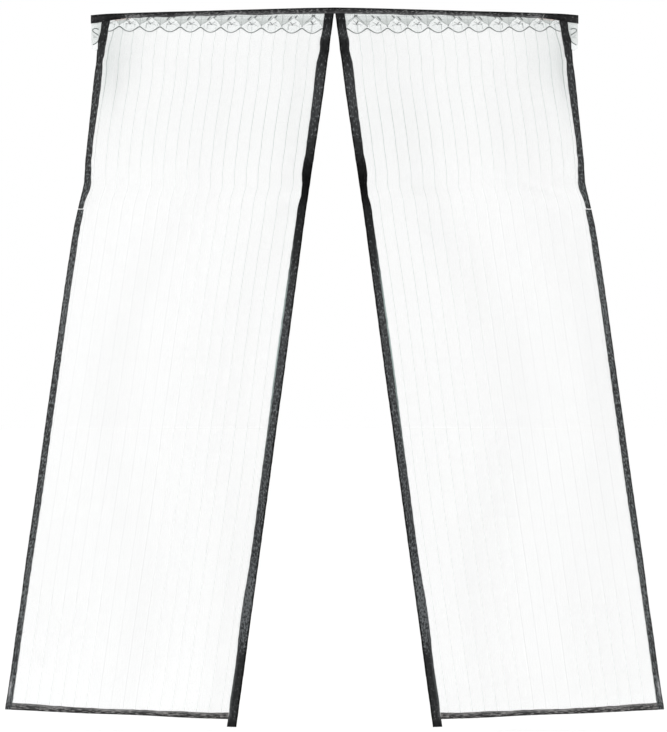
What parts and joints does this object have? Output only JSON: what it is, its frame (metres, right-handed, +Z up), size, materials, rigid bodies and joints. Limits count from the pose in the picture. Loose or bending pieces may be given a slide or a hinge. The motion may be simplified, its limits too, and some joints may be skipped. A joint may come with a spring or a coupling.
{
  "type": "magnetic screen door curtain",
  "caption": "Two net halves under one taped heading, with a scalloped lace valance and dark tape on every edge, parting towards the floor.",
  "frame": {"origin": "middle of the heading's top edge, in the middle of the heading's thickness", "axes": "+Z up, against the hang of the cloth; the front, with the lace, faces -Y; +X to the right seen from the front"},
  "size_m": [1.9252, 0.0317, 2.1021],
  "materials": {
    "net": "sheer white polyester net with thin grey stripes",
    "lace": "white machine lace with a grey edge cord",
    "heading_tape": "matt black woven tape",
    "binding_tape": "matt charcoal woven tape with lighter fuzz",
    "hem_tape": "matt dark grey brushed tape with lighter fuzz"
  },
  "bodies": {
    "root": {"heading_tape": "heading_tape", "panel_left": "net", "panel_right": "net", "lace_left": "lace", "lace_right": "lace", "side_tape_upper_left": "binding_tape", "side_tape_upper_right": "binding_tape", "side_tape_lower_left": "binding_tape", "side_tape_lower_right": "binding_tape", "centre_tape_left": "binding_tape", "centre_tape_right": "binding_tape", "hem_tape_left": "hem_tape", "hem_tape_right": "hem_tape"}
  },
  "joints": []
}
